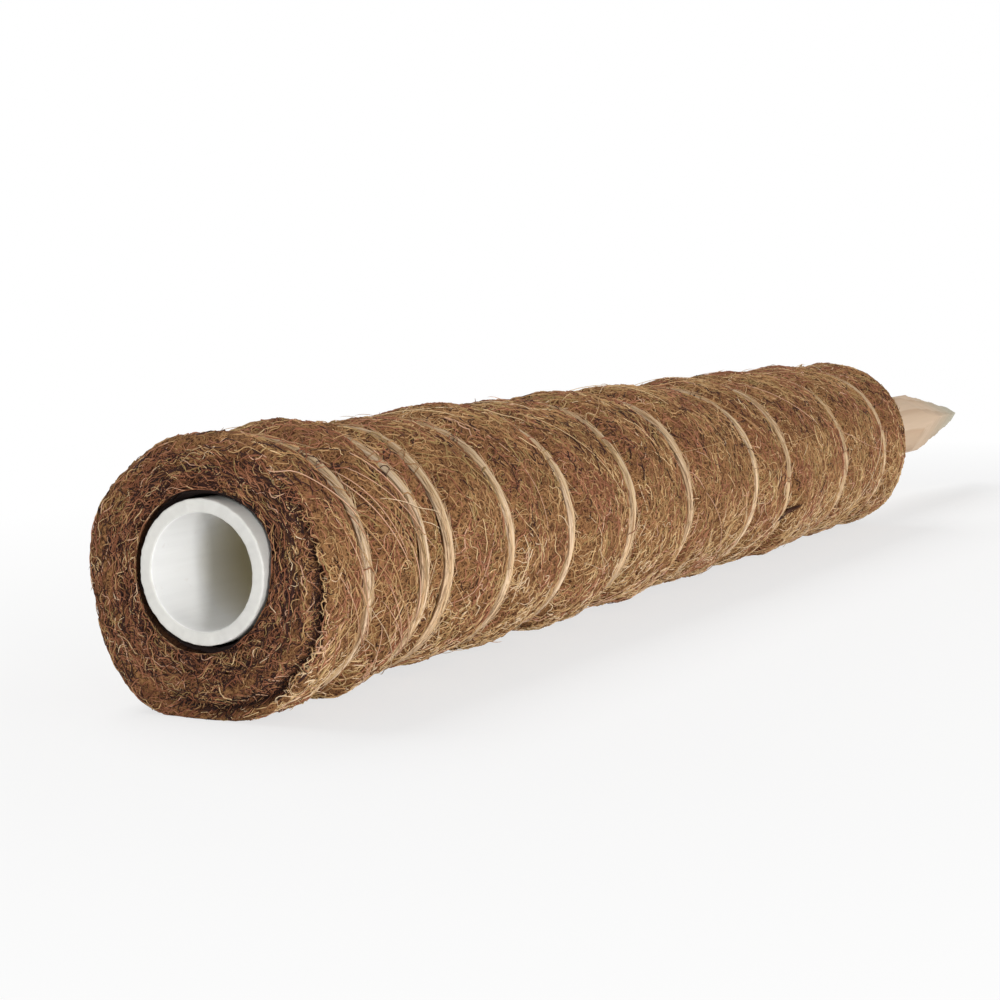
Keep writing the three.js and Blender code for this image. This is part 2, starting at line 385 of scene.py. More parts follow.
def felt_material(name, dark, middle, light, red):
    """Matted fibre: dark gaps, redder patches and crossing fibres, and painted shade that turns it nearly
    black beside the tube.
    """
    nodes = material_nodes(name)
    place = nodes.object_coordinates()
    grain = nodes.noise(place, 950.0, 6.0, 0.72, 1.2)
    colour = nodes.ramp(grain, (0.34, dark), (0.5, middle), (0.68, light))
    patches = nodes.noise(place, 62.0, 3.0, 0.6, 0.6)
    colour = nodes.mix(nodes.ramp(patches, (0.45, 0.0), (0.66, 0.6)), colour, linear(*red))
    specks = nodes.noise(place, 1500.0, 2.0, 0.5)
    colour = nodes.times(colour, nodes.ramp(specks, (0.36, 0.45), (0.48, 1.0)))
    for scale, share in ((560.0, 0.5), (900.0, 0.65)):
        lines = nodes.fibres(place, scale, 0.8 * scale, 0.003)
        colour = nodes.mix(nodes.ramp(lines, (0.03, share), (0.1, 0.0)), colour, linear(*light))
    # Painted shade: the felt goes nearly black in the gap beside the tube
    by_tube = nodes.map_range(nodes.tube_radius(place), 12.0 * MM, 14.8 * MM, 0.0, 1.0)
    colour = nodes.times(colour, nodes.ramp(by_tube, (0.2, 0.12), (1.0, 1.0)))
    nodes.bump(grain, 0.0005, 0.9)
    return nodes.shade(colour, 0.95, 0.1)


def plastic_material():
    """White plastic with faint drawing lines and dust. The bore is painted whiter than the outside as painted
    light, with painted shade deep in it.
    """
    nodes = material_nodes("white_tube_plastic")
    place = nodes.object_coordinates()
    clouds = nodes.noise(place, 90.0, 3.0, 0.5)
    outside = nodes.ramp(clouds, (0.3, (216, 215, 210)), (0.7, (224, 223, 217)))
    # Painted light: the bore is whiter than the outside and the rims
    bore = nodes.ramp(clouds, (0.3, (250, 250, 248)), (0.7, (253, 253, 252)))
    radius = nodes.tube_radius(place)
    within = nodes.map_range(radius, (TUBE_BORE + 0.1) * MM, (TUBE_BORE + 0.02) * MM, 0.0, 1.0)
    colour = nodes.mix(within, outside, bore)
    draw_lines = nodes.noise(nodes.object_coordinates(Scale=(30, 900, 900)), 1.0, 3.0, 0.6)
    colour = nodes.times(colour, nodes.ramp(draw_lines, (0.3, 0.95), (0.6, 1.0)))
    dust = nodes.noise(place, 420.0, 5.0, 0.7)
    colour = nodes.mix(nodes.ramp(dust, (0.62, 0.0), (0.75, 0.35)), colour, linear(206, 198, 190))
    # Painted shade deep in the bore
    deep = within
    for shade in PAINTED_BORE_SHADE:
        deep = nodes.number_math("MULTIPLY", deep, nodes.share_along(*shade))
    colour = nodes.mix(deep, colour, linear(214, 201, 160))
    nodes.bump(draw_lines, 0.00008, 0.5)
    return nodes.shade(colour, nodes.ramp(dust, (0.3, 0.34), (0.7, 0.55)), 0.45)


def wood_material():
    """Pale softwood: growth rings round a pith beside the stake, fine grain, and grey on the cut point."""
    nodes = material_nodes("pale_stake_wood")
    inputs = {"Scale": 52.0, "Distortion": 2.2, "Detail": 2.0, "Detail Scale": 0.35, "Phase Offset": 1.3,
              "Vector": nodes.object_coordinates(Location=(0.0, 0.0135, -0.006), Rotation=(0.0, 0.035, 0.05))}
    rings = nodes.add("ShaderNodeTexWave", inputs, wave_type="RINGS", rings_direction="X", wave_profile="SAW")
    colour = nodes.ramp(rings.outputs["Fac"], (0.0, (198, 174, 149)), (0.6, (194, 169, 143)),
                        (0.93, (184, 156, 129)), (1.0, (195, 171, 145)))
    grain = nodes.noise(nodes.object_coordinates(Scale=(14, 520, 520)), 1.0, 6.0, 0.65)
    colour = nodes.times(colour, nodes.ramp(grain, (0.3, 0.92), (0.62, 1.0)))
    colour = nodes.mix(nodes.share_along(*GREY_POINT), colour, linear(160, 162, 146))
    nodes.bump(grain, 0.0002, 0.6)
    return nodes.shade(colour, 0.72, 0.25)


# Meshes

def add_piece(name, points, loops, loop_starts, material, dress, strand_map=None):
    """A mesh of points in millimetres. dress is its slot, which is not used, its body and any node that it
    replaces.
    """
    mesh = bpy.data.meshes.new(name)
    mesh.vertices.add(len(points))
    mesh.vertices.foreach_set("co", metres(points).astype(np.float32).ravel())
    mesh.loops.add(len(loops))
    mesh.loops.foreach_set("vertex_index", loops.astype(np.int32))
    mesh.polygons.add(len(loop_starts))
    mesh.polygons.foreach_set("loop_start", loop_starts.astype(np.int32))
    mesh.polygons.foreach_set("use_smooth", np.ones(len(loop_starts), dtype=bool))
    if strand_map is not None:
        layer = mesh.uv_layers.new(name=STRAND_MAP)
        layer.data.foreach_set("uv", strand_map.astype(np.float32).ravel())
    mesh.update(calc_edges=True)
    mesh.validate()
    mesh.materials.append(material)
    piece = new_object(name, mesh)
    slot, body, *replaced = dress
    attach(piece, body)
    if replaced:
        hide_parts(*replaced)


def ring_piece(name, rings, material, dress, closed_profile=True):
    """Closed surface through rings of points; an open profile is closed by a flat fan at each end."""
    rings = np.array(rings)[:, ::-1]
    count, sides = rings.shape[:2]
    index = np.arange(count * sides).reshape(count, sides)
    here, there = index, np.roll(index, -1, axis=0)
    if not closed_profile:
        here, there = here[:-1], there[:-1]
    quads = np.stack([here, np.roll(here, -1, axis=1), np.roll(there, -1, axis=1), there], axis=-1)
    loops = quads.reshape(-1)
    starts = np.arange(0, len(loops), 4)
    if not closed_profile:
        starts = np.concatenate([starts, [len(loops), len(loops) + sides]])
        loops = np.concatenate([loops, index[0][::-1], index[-1]])
    add_piece(name, rings.reshape(-1, 3), loops, starts, material, dress)


def strand_piece(name, paths, radii, columns, look, dress, sides=3):
    """Many closed strands in one mesh. paths is strands by points by 3, and radii fits its first two."""
    strands, steps = paths.shape[:2]
    along = unit(np.gradient(paths, axis=1))
    outward = paths * (0.0, 1.0, 1.0)
    outward -= along * np.sum(outward * along, axis=-1, keepdims=True)
    weak = np.linalg.norm(outward, axis=-1, keepdims=True) < 1e-3
    outward = unit(np.where(weak, (0.0, 0.31, 0.95), outward))
    across = np.cross(along, outward)
    angles = ring_angles(sides)[:, None]
    radii = np.broadcast_to(radii, (strands, steps))
    spokes = outward[:, :, None] * np.cos(angles) + across[:, :, None] * np.sin(angles)
    rings = paths[:, 1:-1, None] + spokes[:, 1:-1] * radii[:, 1:-1, None, None]
    points = np.concatenate([paths[:, :1], rings.reshape(strands, -1, 3), paths[:, -1:]], axis=1)

    inner = steps - 2
    last = 1 + inner * sides
    loops, across_share, along_share, starts = [], [], [], []

    def face(*corners):
        starts.append(len(loops))
        for vertex, share, way in corners:
            loops.append(vertex)
            across_share.append(share)
            along_share.append(way / (steps - 1))

    def corner(ring, side):
        return 1 + ring * sides + side % sides, side / sides, ring + 1

    for side in range(sides):
        face((0, (side + 0.5) / sides, 0), corner(0, side + 1), corner(0, side))
        face((last, (side + 0.5) / sides, steps - 1), corner(inner - 1, side), corner(inner - 1, side + 1))
        for ring in range(inner - 1):
            face(corner(ring, side), corner(ring, side + 1),
                 corner(ring + 1, side + 1), corner(ring + 1, side))

    material, colour_count = look
    across_map = (np.reshape(columns, (-1, 1)) + 0.15 + 0.7 * np.array(across_share)) / colour_count
    strand_map = np.stack(np.broadcast_arrays(across_map, along_share), axis=-1)
    order = np.arange(strands)[:, None]
    all_loops = (order * points.shape[1] + np.array(loops)).ravel()
    all_starts = (order * len(loops) + np.array(starts)).ravel()
    add_piece(name, points.reshape(-1, 3), all_loops, all_starts, material, dress, strand_map)


# Form of the coir

def waves(seed, count, longest, shortest, most_round):
    """Soft seeded relief over the pole, mostly within -1 and 1, by its longest and shortest wave along it."""
    rng = np.random.default_rng(seed)
    lengths = np.exp(rng.uniform(math.log(shortest), math.log(longest), count))
    pushes = rng.choice([-1, 1], count) * TURN / lengths
    around = rng.integers(-most_round, most_round + 1, count)
    phases = rng.uniform(0, TURN, count)

    def relief(x, angle):
        total = np.zeros(np.broadcast(x, angle).shape)
        for push, turns, phase in zip(pushes, around, phases):
            total += np.sin(push * x + turns * angle + phase)
        return total / math.sqrt(count)
    return relief


broad_relief = waves(seed=11, count=9, longest=120, shortest=34, most_round=3)
small_relief = waves(seed=12, count=14, longest=26, shortest=9, most_round=11)
fine_relief = waves(seed=13, count=22, longest=6.5, shortest=2.4, most_round=46)
patch_relief = waves(seed=14, count=16, longest=60, shortest=16, most_round=7)
speck_relief = waves(seed=15, count=16, longest=18, shortest=7, most_round=18)

TURN_PLACES = np.cumsum([FIRST_TURN, *TURN_STEPS])
CROSSINGS = np.array([TURN_PLACES[0] - TIE_STEP, *TURN_PLACES, TURN_PLACES[-1] + TIE_STEP])
TURN_COUNT = len(TURN_PLACES)


def twine_place(turns):
    """Place of the twine along the pole, by turns counted from the far side, with a hand-wound wander."""
    steps = turns + 0.5
    index = np.clip(np.floor(steps).astype(int), 0, len(CROSSINGS) - 2)
    part = steps - index
    eased = part - FAR_SIDE_LEAN * np.sin(TURN * part) / TURN
    gap = CROSSINGS[index + 1] - CROSSINGS[index]
    return CROSSINGS[index] + gap * eased + ripple(TURN * turns, *WANDER)


def groove(x, angle):
    """How far the twine draws the coir in at a place, and the distance to the nearest turn."""
    share = np.mod(angle, TURN) / TURN
    depth = np.zeros(np.broadcast(x, angle).shape)
    nearest = np.full(depth.shape, FAR_OFF)
    for turn in range(-1, TURN_COUNT + 1):
        turns = turn + share
        ahead = turns - TIE_TURN + RUN_OUT
        behind = TURN_COUNT + TIE_TURN + RUN_OUT - turns
        hold = np.clip(np.minimum(ahead, behind) / RUN_OUT_EASE, 0, 1)
        gap = np.abs(x - twine_place(turns))
        tightness = 1 + 0.10 * np.sin(TURN * turns * 0.83 + 1.0)
        pull = np.minimum(hold * tightness, TIGHTEST) * GROOVE_DEPTH
        depth = np.maximum(depth, pull / (1 + (gap / GROOVE_HALF_WIDTH) ** 2))
        nearest = np.where(hold > 0, np.minimum(nearest, gap), nearest)
    return np.minimum(depth, GROOVE_DEPTH + 0.1), nearest


def edge_round(angle):
    """Radius of the open end's edge."""
    return EDGE_ROUND + (SLUMPED_ROUND - EDGE_ROUND) * hump(angle, SLUMP_DEGREES, SLUMP_BREADTH)


def rounding(share, radius):
    """Fall of a rounded edge, by the share of the way over it."""
    return radius * (1 - np.sqrt(1 - np.clip(share, 0, 1) ** 2))


def past_edges(x, angle):
    """Share of the way over the rounded edge of each end: 0 on the side, 1 on the face."""
    near = np.clip(1 - (x - COIR_START) / edge_round(angle), 0, 1)
    far = np.clip(1 - (COIR_END - x) / EDGE_ROUND, 0, 1)
    return near, far


def end_drop(x, angle):
    """How far the rounded ends of the coir fall below its side."""
    near, far = past_edges(x, angle)
    return rounding(near, edge_round(angle)) + rounding(far, EDGE_ROUND)


def uneven(x, angle):
    """Height of the coir's bulges at a place."""
    return sum(height * hump(angle, middle, breadth) * np.exp(-((x - place) / length) ** 2)
               for place, middle, height, length, breadth in BULGES)


def slit(x, angle):
    """A short slit in the felt beside one turn of the twine, low on the near side: along it and across it."""
    forward = x - SLIT_PLACE
    around = COIR_RADIUS * turned_from(angle, SLIT_DEGREES)
    return SLIT_ALONG * forward - SLIT_AROUND * around, SLIT_AROUND * forward + SLIT_ALONG * around


def coir_surface(x, angle):
    """Radius of the coir at a place, and the distance to the nearest turn of twine."""
    depth, nearest = groove(x, angle)
    free = 1 - 0.85 * depth / GROOVE_DEPTH
    swell = BROAD_SWELL * broad_relief(x, angle) + SMALL_SWELL * small_relief(x, angle)
    along, across = slit(x, angle)
    cut = SLIT_DEPTH * np.exp(-(across / SLIT_HALF_WIDTH) ** 2)
    cut = cut * np.clip(1 - (along / SLIT_HALF_LENGTH) ** 4, 0, 1)
    return COIR_RADIUS - depth + swell * free + uneven(x, angle) - end_drop(x, angle) - cut, nearest


# Coir: the two layers of felt, with their rounded ends and the crease where the outer one's edge is folded in

def crease(angle):
    """Radius and depth of the crease on the open end; it is open on the near side and below."""
    wobble = ripple(angle, (0.45, 2, 0.6), (0.3, 5, 1.9), (0.2, 11, 0.0))
    openness = np.clip(0.25 + 1.1 * np.cos(angle - math.radians(215)), 0, 1)
    return CREASE_RADIUS + wobble, CREASE_DEPTH * openness


def open_face(points):
    """Place along the pole of the open end's face: level with the rim, but drawn back beside the tube on the
    upper near side, and folded in at the crease."""
    angle = angle_of(points)
    by_tube = np.clip((DRAWN_BACK_RADIUS - from_axis(points, TUBE_RISE)) / DRAWN_BACK_BREADTH, 0, 1)
    middle, depth = crease(angle)
    fold = depth * np.exp(-(from_axis(points) - middle) ** 2)
    return COIR_START + humps(angle, DRAWN_BACK) * by_tube + fold


def standing_off(angle):
    """Share by which the coir stands off the tube at the ends: all round it, but not on the near side."""
    return np.clip(0.65 + 0.9 * np.cos(angle), 0.08, 1)


def tube_lip(points):
    """How far a face falls back as it nears the tube."""
    nearness = np.clip((LIP_RADIUS - from_axis(points, TUBE_RISE)) / (LIP_RADIUS - INNER_BORE), 0, 1)
    return LIP_DEPTH * standing_off(angle_of(points)) * nearness ** 2


def face_relief(radius, angle, shift):
    """Ripples of the rolled felt on an end face; shift sets one face apart from another."""
    rolled = 0.16 * np.sin(radius * 2.9 + 1.4 * np.sin(3 * angle + shift) + shift)
    rolled = rolled + 0.12 * np.sin(radius * 5.1 + 2.0 * np.sin(5 * angle + 2 * shift))
    fine = 0.13 * fine_relief(radius * 1.7 + 40 * shift, angle)
    return rolled + fine + 0.18 * small_relief(radius * 2 + 90 * shift, angle)


def outer_layer(material):
    face_steps, edge_steps, side_steps = 13, 8, 430
    angle = ring_angles(200)
    bends = np.arange(edge_steps) / edge_steps * TURN / 4
    side_start = COIR_START + edge_round(angle)

    def face_ring(step, outward):
        share = step / face_steps
        inside = raised(polar(0.0, LAYER_RADIUS + 0.15, angle))
        outside = polar(0.0, coir_surface(COIR_START if outward < 0 else COIR_END, angle)[0], angle)
        ring = inside + share * (outside - inside)
        relief = face_relief(from_axis(ring), angle, 1.0 + outward)
        relief *= min(1.0, share * 4) * (1 - share ** 6)
        ring[:, 0] = open_face(ring) - relief if outward < 0 else COIR_END + np.minimum(relief, 0.3)
        return ring

    def edge_ring(x):
        return polar(x, coir_surface(x, angle)[0] + 0.1 * fine_relief(x, angle), angle)

    rings = [face_ring(step, -1) for step in range(face_steps)]
    for bend in bends:
        ring = edge_ring(COIR_START + edge_round(angle) * (1 - math.cos(bend)))
        ring[:, 0] += (open_face(ring) - COIR_START) * math.cos(bend)
        rings.append(ring)
    for share in np.linspace(0, 1, side_steps):
        x = side_start + share * (COIR_END - EDGE_ROUND - side_start)
        radius, nearest = coir_surface(x, angle)
        roughness = 0.16 * np.clip((nearest - 0.8) / 2, 0.2, 1)
        rings.append(polar(x, radius + roughness * fine_relief(x, angle), angle))
    rings += [edge_ring(COIR_END - EDGE_ROUND * (1 - math.cos(bend))) for bend in bends[::-1]]
    rings += [face_ring(step, 1) for step in reversed(range(face_steps))]
    ring_piece("coir_felt_layer", rings, material, ("coir", "pole", "coir_outer_wrap"))


def inner_roll(material):
    face_steps, side_steps = 12, 14
    angle = ring_angles(160)
    outside = LAYER_RADIUS - 0.1
    places = np.linspace(COIR_START + 7, COIR_END - 6, side_steps)
    rings = []

    def face(outward, steps):
        for step in steps:
            share = step / face_steps
            radius = INNER_BORE + share * (outside - INNER_BORE)
            wobble = 0.0 if step in (0, face_steps) else 0.12
            opened = GAP_BY_TUBE * standing_off(angle) * (1 - share) ** 2
            ring = raised(polar(0.0, radius + opened + wobble * np.sin(7 * angle + step), angle))
            relief = face_relief(radius, angle, 2.0 + outward) * (1 - abs(2 * share - 1) ** 6)
            level = open_face(ring) if outward < 0 else COIR_END
            ring[:, 0] = level + outward * (relief - tube_lip(ring) - 0.6 * share ** 6 - 0.25)
            rings.append(ring)

    face(-1, range(face_steps + 1))
    rings.extend(raised(polar(place, outside, angle)) for place in places)
    face(1, range(face_steps, -1, -1))
    rings.extend(raised(polar(place, INNER_BORE, angle)) for place in places[::-1])
    ring_piece("coir_inner_roll", rings, material, ("coir_dark", "pole", "coir_inner_wrap"))


# Coir: loose strands of the felt

# Felt strands: lengths, sway and its wave length, bend, lean and its spread, heights over the felt, thickness
CURLY_COUNT = 3300
CURLY_STRANDS = [
    ((8, 15), 1.15, 6.0, 0.03, (0.6, 0.8), (-0.04, 0.22), 0.12),
    ((8, 15), 1.05, 5.5, 0.03, (-0.6, 0.8), (-0.04, 0.24), 0.115),
    ((7, 13), 1.2, 5.0, 0.04, (1.1, 1.0), (-0.02, 0.26), 0.11),
    ((6, 11), 1.25, 4.4, 0.04, (0.1, 0.8), (0.0, 0.26), 0.10),
    ((6, 11), 1.3, 4.0, 0.04, (-0.2, 0.9), (0.0, 0.28), 0.095),
    ((5, 9), 1.3, 3.4, 0.05, (0.3, 1.0), (0.02, 0.28), 0.09),
    ((5, 9), 1.35, 3.1, 0.05, (-0.4, 1.0), (0.04, 0.30), 0.085),
]
LONG_COUNT = 1200
LONG_STRANDS = ((14, 28), 0.4, 13.0, 0.018, (0.75, 0.7), (0.02, 0.34), 0.08)
TUCKED = -0.45  # height of a felt strand's ends


def walked(direction, length):
    """How far strands have run at each point, forward and sideways."""
    step = length / (direction.shape[1] - 1)
    return np.cumsum(np.cos(direction), axis=1) * step, np.cumsum(np.sin(direction), axis=1) * step


def pick_columns(draws, x, angle, lightness, spread, redness=-0.35):
    """Colour column of each strand: redder or more golden by patches, lighter or darker by chance."""
    light = lightness + 0.28 * speck_relief(x, angle) + spread * draws.normal(0, 1.0)
    level = np.clip(np.round(3.6 + 1.75 * light), 0, len(GOLDEN) - 1).astype(int)
    is_red = draws.uniform(0, 1) < 1 / (1 + np.exp(-2.6 * (patch_relief(x, angle) + redness)))
    return np.where(is_red, REDDISH[level], GOLDEN[level])


def covering(x, angle):
    """Share of the strands that lie over the twine: more on top, most so at the open end, and over one slack
    turn beside the slit."""
    top = hump(angle, 100, 28) * (0.22 + 0.33 * np.exp(-(x / 26) ** 2))
    slack = np.exp(-((x - SLIT_PLACE) / 6) ** 2) * (1 - hump(angle, 172, 20))
    return 0.02 + np.maximum(top, 0.22 * slack)


def felt_paths(draws, points, lengths, curl, curl_length, bend, lean, heights, margin=0.4):
    """Strands that wander over the coir's surface, their ends tucked in, and the place of their middles."""
    length = draws.uniform(*lengths)
    x_start = draws.uniform(COIR_START - 1, COIR_END + 1)
    angle_start = draws.uniform(0, TURN)
    heading = draws.normal(*lean) + draws.choice([0, math.pi])
    way = np.linspace(0, 1, points)
    bends = draws.normal(0, bend)
    sway = draws.uniform(0.5, 1.0) * curl
    wave_length = draws.uniform(0.7, 1.5) * curl_length
    phase = draws.uniform(0, TURN)
    swing = sway * np.sin(TURN * way * length / wave_length + phase)
    forward, sideways = walked(heading + bends * (way - 0.5) * length + swing, length)
    x = x_start + forward - forward.mean(axis=1, keepdims=True)
    angle = angle_start + sideways / COIR_RADIUS
    x = COIR_START + margin + np.abs(x - COIR_START - margin)
    x = COIR_END - margin - np.abs(COIR_END - margin - x)
    surface, nearest = coir_surface(x, angle)
    top = draws.uniform(*heights)
    arch = np.sin(math.pi * way) ** 0.6
    weave = 0.10 * np.sin(TURN * way * length / 3.1 + 2 * phase)
    at_end = np.maximum(*past_edges(x, angle))
    radius = surface + TUCKED + (top - TUCKED) * arch + weave * arch - 0.5 * at_end
    held = np.clip((nearest - 0.9) / 0.8, 0, 1)
    pressed = np.minimum(radius, TWINE_RADIUS - TWINE_HALF_HEIGHT - 0.2)
    lifted = np.maximum(radius, TWINE_RADIUS + TWINE_HALF_HEIGHT + 0.2)
    over = draws.uniform(0, 1) < covering(x, angle)
    at_twine = np.where(over & (way > 0.1) & (way < 0.9), lifted, pressed)
    radius = np.where(nearest < 1.7, at_twine + (radius - at_twine) * held, radius)
    middle = points // 2
    return polar(x, radius, angle), x[:, middle, None], angle[:, middle, None]


def felt_strands(look):
    rng = np.random.default_rng(21)
    batches = [(f"coir_strands_curly_{number}", CURLY_COUNT, 12, 0.05, batch)
               for number, batch in enumerate(CURLY_STRANDS, 1)]
    batches.append(("coir_strands_long", LONG_COUNT, 14, 0.5, LONG_STRANDS))
    for name, count, points, lightness, (*lie, thickness) in batches:
        draws = Draws(rng, count)
        paths, x, angle = felt_paths(draws, points, *lie)
        radii = thickness * draws.uniform(0.7, 1.25)
        # the side's tones are painted light and shade by angle
        columns = pick_columns(draws, x, angle, lightness + humps(angle, SIDE_PAINTED_LIGHT), spread=1.02)
        strand_piece(name, paths, radii, columns, look, ("coir", "pole"))


def stray_strands(look, rng):
    """Long, nearly straight golden strands that bridge the hollows."""
    draws = Draws(rng, count=95)
    length = draws.uniform(20, 46)
    x_start = draws.uniform(COIR_START + 8, COIR_END - 8)
    angle_start = draws.uniform(0, TURN)
    heading = draws.normal(0.62, 0.42) * draws.choice([1, 1, 1, -1])
    # a loose bunch by the open end on the near side, running down and away from it
    bunch = Draws(rng, count=26)
    length[:bunch.count] *= 0.62
    x_start[:bunch.count] = bunch.uniform(6, 30)
    angle_start[:bunch.count] = np.radians(bunch.uniform(132, 222))
    heading[:bunch.count] = bunch.normal(0.85, 0.16)
    way = np.linspace(-0.5, 0.5, 18)
    forward, sideways = walked(heading + draws.normal(0, 0.007) * way * length, length)
    x = x_start + forward - forward.mean(axis=1, keepdims=True)
    angle = angle_start + (sideways - sideways.mean(axis=1, keepdims=True)) / COIR_RADIUS
    x = np.clip(x, COIR_START + 0.6, COIR_END - 0.6)
    depth, _ = groove(x, angle)
    bridge = COIR_RADIUS - 0.25 * depth - end_drop(x, angle) + BROAD_SWELL * broad_relief(x, angle)
    radius = bridge + (draws.uniform(0.15, 0.45) + 0.4) * np.cos(math.pi * way) ** 0.5 - 0.4
    columns = draws.choice([8, 9, 9, 10, 10, 11, 7])
    columns[:bunch.count] = bunch.choice([3, 7, 10, 10, 10])
    radii = draws.uniform(0.055, 0.1)
    strand_piece("coir_strands_stray", polar(x, radius, angle), radii, columns, look, ("coir", "pole"))


def fuzz_strands(look, rng):
    """Short ends that stand off the felt, away from the twine."""
    draws = Draws(rng, count=650)
    x_start = draws.uniform(COIR_START + 1, COIR_END - 1)
    angle_start = draws.uniform(0, TURN)
    length = draws.uniform(2.5, 6.5)
    heading = draws.uniform(0, TURN)
    taper = np.array([1, 1, 1, 1, 0.9, 0.75, 0.5])
    way = np.linspace(0, 1, len(taper))
    x = np.clip(x_start + np.cos(heading) * way * length, COIR_START + 0.3, COIR_END - 0.3)
    angle = angle_start + np.sin(heading) * way * length / COIR_RADIUS
    surface, _ = coir_surface(x_start, angle_start)
    here, nearest = coir_surface(x, angle)
    lift = draws.uniform(0.4, 1.2) * np.sin(way * draws.uniform(0.9, 2.2))
    radius = np.maximum(np.minimum(surface, here + 0.6), here - 0.1) - 0.3 + lift + 0.2 * way
    free = ~np.any(nearest < 1.5, axis=1)
    paths = polar(x, radius, angle)[free]
    draws = Draws(rng, len(paths))
    # the side's tones are painted light and shade by angle
    lightness = 0.9 + humps(angle_start[free], SIDE_PAINTED_LIGHT)
    columns = pick_columns(draws, x_start[free], angle_start[free], lightness, spread=0.9)
    radii = draws.uniform(0.05, 0.09) * taper
    strand_piece("coir_strands_fuzz", paths, radii, columns, look, ("coir", "pole"))


def rim_radius(angle, outward):
    """Radius of the coir's side where the rounded edge of an end begins."""
    place = COIR_START + edge_round(angle) if outward < 0 else COIR_END - EDGE_ROUND
    return coir_surface(place, angle)[0]


def face_point(radius, angle, outward):
    """A place on an end face, by a radius from the tube to the rim, which have different middles."""
    inside = raised(polar(0.0, FACE_INSIDE, angle))
    outside = polar(0.0, rim_radius(angle, outward) + FACE_OUTSIDE - COIR_RADIUS, angle)
    share = (radius - FACE_INSIDE) / (FACE_OUTSIDE - FACE_INSIDE)
    return inside + share[..., None] * (outside - inside)


def on_face(points, lift, outward):
    """The same places, moved to lie on an end face and lifted off it."""
    angle = angle_of(points)
    round_edge = edge_round(angle) if outward < 0 else EDGE_ROUND
    from_rim = rim_radius(angle, outward) - from_axis(points)
    sunk = rounding(1 - from_rim / round_edge, round_edge)
    level = open_face(points) if outward < 0 else COIR_END
    points[..., 0] = level + outward * (lift - sunk - tube_lip(points))
    return points


def face_strands(look, name, seed, outward):
    """Short curly strands round an end face, lying mostly the way the felt is rolled."""
    draws = Draws(seed, count=3800)
    radius_start = np.sqrt(draws.uniform(12.4 ** 2, 21.6 ** 2))
    angle_start = draws.uniform(0, TURN)
    length = draws.uniform(2.5, 7.5)
    way = np.linspace(-0.5, 0.5, 9)
    heading = draws.normal(0, 0.42)
    sway = draws.uniform(0.3, 1.3)
    phase = draws.uniform(0, TURN)
    swing = sway * np.sin(TURN * way * length / draws.uniform(3, 6) + phase)
    around, outwards = walked(heading + swing, length)
    radius = radius_start + outwards
    angle = angle_start + around / radius_start
    radius = np.clip(radius, FACE_INSIDE + GAP_BY_TUBE * standing_off(angle), FACE_OUTSIDE)
    lift = -0.4 + (draws.uniform(0.0, 0.45) + 0.4) * np.cos(math.pi * way) ** 0.6
    paths = on_face(face_point(radius, angle, outward), lift, outward)
    lightness = -1.15 + 0.45 * np.clip((radius_start - 18.5) / 2, 0, 1) + humps(angle_start, FACE_TONES)
    columns = pick_columns(draws, radius_start * 5, angle_start, lightness, spread=1.55, redness=0.75)
    strand_piece(name, paths, draws.uniform(0.055, 0.11), columns, look, ("coir_dark", "pole"))


def crease_strands(look):
    """Dark strands as painted shade in the open end's crease, on the line between its layers and in the gap
    by the tube.
    """
    draws = Draws(seed=73, count=840)
    order = np.arange(draws.count)[:, None]
    by_tube = order < 250
    layer_line = (order < 480) & ~by_tube
    tube_degrees = draws.uniform(-110, 120)
    crease_degrees = draws.uniform(120, 285)
    layer_degrees = draws.uniform(30, 200)
    angle_start = np.radians(np.select([by_tube, layer_line], [tube_degrees, layer_degrees], crease_degrees))
    way = np.linspace(-0.5, 0.5, 11)
    angle = angle_start + way * draws.uniform(5, 11) / np.where(by_tube, 12, 20)
    wander = draws.normal(0, 0.5) + 0.25 * np.sin(TURN * way * 1.4 + 9 * angle_start)
    paths = polar(0.0, crease(angle)[0] + wander, angle)
    between_layers = raised(polar(0.0, LAYER_RADIUS + 0.6 * wander, angle))
    beside_tube = raised(polar(0.0, INNER_BORE + 0.25 + 0.5 * np.abs(wander), angle))
    paths = np.select([by_tube[..., None], layer_line[..., None]], [beside_tube, between_layers], paths)
    lift = draws.uniform(-0.1, 0.25) - 0.5 * (2 * way) ** 4
    columns = np.where(by_tube, PAINTED_SHADE_DARKEST, draws.choice([DARK, DARK, PAINTED_SHADE_DARKEST, 0]))
    radii = draws.uniform(0.1, 0.17) + 0.04 * by_tube
    strand_piece("coir_strands_crease", on_face(paths, lift, -1), radii, columns, look, ("coir_dark", "pole"))


def slit_strands(look):
    """Dark strands down in the slit, as painted shade."""
    draws = Draws(seed=74, count=70)
    way = np.linspace(-1, 1, 9)
    along = way * draws.uniform(1.6, 2.8)
    along += draws.uniform(-2.6, 2.6)
    across = draws.normal(0, 0.15) + 0.1 * np.sin(along + 7 * draws.uniform(0, 1))
    x = SLIT_PLACE + SLIT_ALONG * along + SLIT_AROUND * across
    angle = math.radians(SLIT_DEGREES) + (SLIT_ALONG * across - SLIT_AROUND * along) / COIR_RADIUS
    surface, _ = coir_surface(x, angle)
    over_twine = TWINE_RADIUS + TWINE_HALF_HEIGHT + 0.25
    radius = np.maximum(surface + 1.2, over_twine) + draws.uniform(-0.2, 0.2) - 0.5 * way ** 4
    radii = draws.uniform(0.07, 0.12)
    # painted shade of the slit's hollow
    columns = draws.choice([DARK, DARK, 0])
    strand_piece("coir_strands_slit", polar(x, radius, angle), radii, columns, look, ("coir_dark", "pole"))


# Twine

def beside(path, side, sideways, other, upward):
    """A path moved two ways, by an amount of its own at each point."""
    return path + side * sideways[:, None] + other * upward[:, None]


